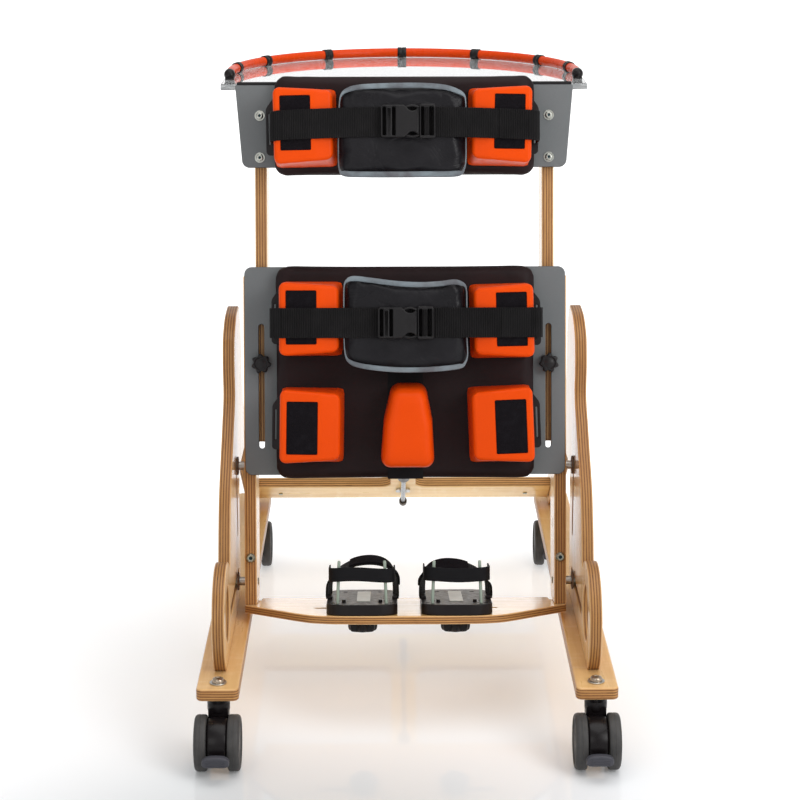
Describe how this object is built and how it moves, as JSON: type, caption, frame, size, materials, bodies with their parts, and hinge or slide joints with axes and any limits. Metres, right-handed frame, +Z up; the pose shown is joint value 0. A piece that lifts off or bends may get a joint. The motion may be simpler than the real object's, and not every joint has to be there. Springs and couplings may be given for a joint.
{
  "type": "prone standing frame",
  "caption": "Padded prone standing frame of varnished plywood on castors, with a tilting body support, clear tray, belts, side supports and sandals.",
  "frame": {"origin": "on the floor, under the middle of the bounding box", "axes": "+Z up, +Y the way the user faces (towards the tray), +X to the right seen from behind the user"},
  "size_m": [0.5978, 0.986, 0.9305],
  "materials": {
    "birch_ply": "clear varnished birch plywood with dark edge plies",
    "grey_panel": "fine-textured grey laminate",
    "pad_cover": "dark brown-black padded cover",
    "belly_cover": "near-black padded cover with grey-blue piping",
    "orange_foam": "satin orange moulded foam skin",
    "black_plastic": "black moulded plastic",
    "black_webbing": "black woven webbing",
    "castor_tread": "dark grey soft tread",
    "castor_housing": "gloss black castor housing",
    "brake_plastic": "grey-blue pedal",
    "zinc_steel": "zinc-plated steel",
    "chrome_rod": "polished rod with a dark clevis",
    "clear_acrylic": "clear acrylic sheet",
    "orange_tube": "glossy orange tube"
  },
  "bodies": {
    "base": {"runner_left": "birch_ply", "runner_right": "birch_ply", "side_frame_left": "birch_ply", "side_frame_right": "birch_ply", "rear_cross_panel": "birch_ply", "strut_base_bracket": "zinc_steel"},
    "castor_rear_left": {"castor_fork_rear_left": "castor_housing"},
    "wheels_rear_left": {"castor_wheels_rear_left": "castor_tread"},
    "brake_rear_left": {"brake_pedal_rear_left": "brake_plastic"},
    "castor_rear_right": {"castor_fork_rear_right": "castor_housing"},
    "wheels_rear_right": {"castor_wheels_rear_right": "castor_tread"},
    "brake_rear_right": {"brake_pedal_rear_right": "brake_plastic"},
    "castor_front_left": {"castor_fork_front_left": "castor_housing"},
    "wheels_front_left": {"castor_wheels_front_left": "castor_tread"},
    "brake_front_left": {"brake_pedal_front_left": "brake_plastic"},
    "castor_front_right": {"castor_fork_front_right": "castor_housing"},
    "wheels_front_right": {"castor_wheels_front_right": "castor_tread"},
    "brake_front_right": {"brake_pedal_front_right": "brake_plastic"},
    "tilt_crank": {"cross_dowel_left": "zinc_steel", "cross_dowel_right": "zinc_steel"},
    "tilt_frame": {"lower_post_left": "birch_ply", "lower_post_right": "birch_ply", "footplate": "birch_ply", "pelvic_panel": "grey_panel", "strut_top_bracket": "zinc_steel", "upper_guide_bolt_left": "zinc_steel", "upper_guide_bolt_right": "zinc_steel", "lower_guide_bolt_left": "zinc_steel", "lower_guide_bolt_right": "zinc_steel", "pelvic_pad": "pad_cover", "pelvic_belly_pad": "belly_cover", "pelvic_buckle": "black_plastic"},
    "strut_body": {"strut_cylinder": "black_plastic"},
    "strut_piston": {"strut_rod": "chrome_rod"},
    "chest_frame": {"upper_post_left": "birch_ply", "upper_post_right": "birch_ply", "chest_panel": "grey_panel", "chest_pad": "pad_cover", "chest_belly_pad": "belly_cover", "chest_buckle": "black_plastic"},
    "post_clamp_left": {"post_clamp_knob_left": "black_plastic"},
    "post_clamp_right": {"post_clamp_knob_right": "black_plastic"},
    "tray_unit": {"tray": "clear_acrylic", "tray_rail": "orange_tube", "tray_hinge_bracket": "zinc_steel"},
    "hip_upper_left": {"hip_block_upper_left": "orange_foam", "pelvic_strap_left": "black_webbing"},
    "hip_lower_left": {"hip_block_lower_left": "orange_foam"},
    "chest_side_left": {"chest_block_left": "orange_foam", "chest_strap_left": "black_webbing"},
    "sandal_clamp_left": {"sandal_clamp_knob_left": "black_plastic"},
    "sandal_left": {"sandal_left": "black_plastic"},
    "hip_upper_right": {"hip_block_upper_right": "orange_foam", "pelvic_strap_right": "black_webbing"},
    "hip_lower_right": {"hip_block_lower_right": "orange_foam"},
    "chest_side_right": {"chest_block_right": "orange_foam", "chest_strap_right": "black_webbing"},
    "sandal_clamp_right": {"sandal_clamp_knob_right": "black_plastic"},
    "sandal_right": {"sandal_right": "black_plastic"},
    "pommel_unit": {"pommel": "orange_foam"}
  },
  "joints": [
    {"name": "castor_swivel_rear_left", "type": "hinge", "parent": "base", "child": "castor_rear_left", "pos_m": [-0.2667, -0.408, 0.1], "axis": [0, 0, 1], "continuous": true},
    {"name": "wheel_roll_rear_left", "type": "hinge", "parent": "castor_rear_left", "child": "wheels_rear_left", "pos_m": [-0.2667, -0.437, 0.04], "axis": [1, 0, 0], "continuous": true},
    {"name": "brake_press_rear_left", "type": "hinge", "parent": "castor_rear_left", "child": "brake_rear_left", "pos_m": [-0.2667, -0.463, 0.04], "axis": [1, 0, 0], "range_deg": [0, 14]},
    {"name": "castor_swivel_rear_right", "type": "hinge", "parent": "base", "child": "castor_rear_right", "pos_m": [0.2667, -0.408, 0.1], "axis": [0, 0, 1], "continuous": true},
    {"name": "wheel_roll_rear_right", "type": "hinge", "parent": "castor_rear_right", "child": "wheels_rear_right", "pos_m": [0.2667, -0.437, 0.04], "axis": [1, 0, 0], "continuous": true},
    {"name": "brake_press_rear_right", "type": "hinge", "parent": "castor_rear_right", "child": "brake_rear_right", "pos_m": [0.2667, -0.463, 0.04], "axis": [1, 0, 0], "range_deg": [0, 14]},
    {"name": "castor_swivel_front_left", "type": "hinge", "parent": "base", "child": "castor_front_left", "pos_m": [-0.2667, 0.466, 0.1], "axis": [0, 0, 1], "continuous": true},
    {"name": "wheel_roll_front_left", "type": "hinge", "parent": "castor_front_left", "child": "wheels_front_left", "pos_m": [-0.2667, 0.437, 0.04], "axis": [1, 0, 0], "continuous": true},
    {"name": "brake_press_front_left", "type": "hinge", "parent": "castor_front_left", "child": "brake_front_left", "pos_m": [-0.2667, 0.411, 0.04], "axis": [1, 0, 0], "range_deg": [0, 14]},
    {"name": "castor_swivel_front_right", "type": "hinge", "parent": "base", "child": "castor_front_right", "pos_m": [0.2667, 0.466, 0.1], "axis": [0, 0, 1], "continuous": true},
    {"name": "wheel_roll_front_right", "type": "hinge", "parent": "castor_front_right", "child": "wheels_front_right", "pos_m": [0.2667, 0.437, 0.04], "axis": [1, 0, 0], "continuous": true},
    {"name": "brake_press_front_right", "type": "hinge", "parent": "castor_front_right", "child": "brake_front_right", "pos_m": [0.2667, 0.411, 0.04], "axis": [1, 0, 0], "range_deg": [0, 14]},
    {"name": "tilt", "type": "hinge", "parent": "base", "child": "tilt_crank", "pos_m": [0, -0.079, 0.1665], "axis": [1, 0, 0], "range_deg": [-12.5, 47.5]},
    {"name": "tilt_frame_turn", "type": "hinge", "parent": "tilt_crank", "child": "tilt_frame", "pos_m": [0, -0.09816, 0.2529], "axis": [-1, 0, 0], "range_deg": [-25, 95]},
    {"name": "strut_turn", "type": "hinge", "parent": "tilt_frame", "child": "strut_body", "pos_m": [0, -0.00417, 0.35344], "axis": [1, 0, 0], "range_deg": [-17, 64]},
    {"name": "strut_stroke", "type": "slide", "parent": "strut_body", "child": "strut_piston", "axis": [0, 0.8725, -0.4887], "range_m": [-0.038, 0.0105]},
    {"name": "chest_height", "type": "slide", "parent": "tilt_frame", "child": "chest_frame", "axis": [0, 0.2164, 0.9763], "range_m": [-0.124, 0.052]},
    {"name": "post_clamp_turn_left", "type": "hinge", "parent": "chest_frame", "child": "post_clamp_left", "pos_m": [-0.2157, -0.10342, 0.50635], "axis": [0, -0.9763, 0.2164], "range_deg": [-360, 0]},
    {"name": "post_clamp_turn_right", "type": "hinge", "parent": "chest_frame", "child": "post_clamp_right", "pos_m": [0.2157, -0.10342, 0.50635], "axis": [0, -0.9763, 0.2164], "range_deg": [-360, 0]},
    {"name": "tray_tilt", "type": "hinge", "parent": "chest_frame", "child": "tray_unit", "pos_m": [0, 0.0415, 0.861], "axis": [1, 0, 0], "range_deg": [-12.5, 35]},
    {"name": "hip_upper_width_left", "type": "slide", "parent": "tilt_frame", "child": "hip_upper_left", "axis": [-1, 0, 0], "range_m": [0, 0.03]},
    {"name": "hip_lower_width_left", "type": "slide", "parent": "tilt_frame", "child": "hip_lower_left", "axis": [-1, 0, 0], "range_m": [-0.03, 0.03]},
    {"name": "chest_width_left", "type": "slide", "parent": "chest_frame", "child": "chest_side_left", "axis": [-1, 0, 0], "range_m": [0, 0.03]},
    {"name": "sandal_spread_left", "type": "slide", "parent": "tilt_frame", "child": "sandal_clamp_left", "axis": [-1, 0, 0], "range_m": [-0.0028, 0.0588]},
    {"name": "sandal_toe_out_left", "type": "hinge", "parent": "sandal_clamp_left", "child": "sandal_left", "pos_m": [-0.065, -0.20026, 0.15273], "axis": [0, 0.2164, 0.9763], "range_deg": [-15, 15]},
    {"name": "hip_upper_width_right", "type": "slide", "parent": "tilt_frame", "child": "hip_upper_right", "axis": [1, 0, 0], "range_m": [0, 0.03]},
    {"name": "hip_lower_width_right", "type": "slide", "parent": "tilt_frame", "child": "hip_lower_right", "axis": [1, 0, 0], "range_m": [-0.03, 0.03]},
    {"name": "chest_width_right", "type": "slide", "parent": "chest_frame", "child": "chest_side_right", "axis": [1, 0, 0], "range_m": [0, 0.03]},
    {"name": "sandal_spread_right", "type": "slide", "parent": "tilt_frame", "child": "sandal_clamp_right", "axis": [1, 0, 0], "range_m": [-0.0114, 0.0496]},
    {"name": "sandal_toe_out_right", "type": "hinge", "parent": "sandal_clamp_right", "child": "sandal_right", "pos_m": [0.0742, -0.20026, 0.15273], "axis": [0, 0.2164, 0.9763], "range_deg": [-15, 15]},
    {"name": "pommel_height", "type": "slide", "parent": "tilt_frame", "child": "pommel_unit", "axis": [0, 0.2164, 0.9763], "range_m": [-0.02, 0.012]}
  ],
  "couplings": [
    {"joint": "tilt_frame_turn", "follows": "tilt", "ratio": 2},
    {"joint": "strut_turn", "follows": "tilt", "ratio": 1.33},
    {"joint": "strut_stroke", "follows": "tilt", "m_per_rad": -0.045}
  ]
}
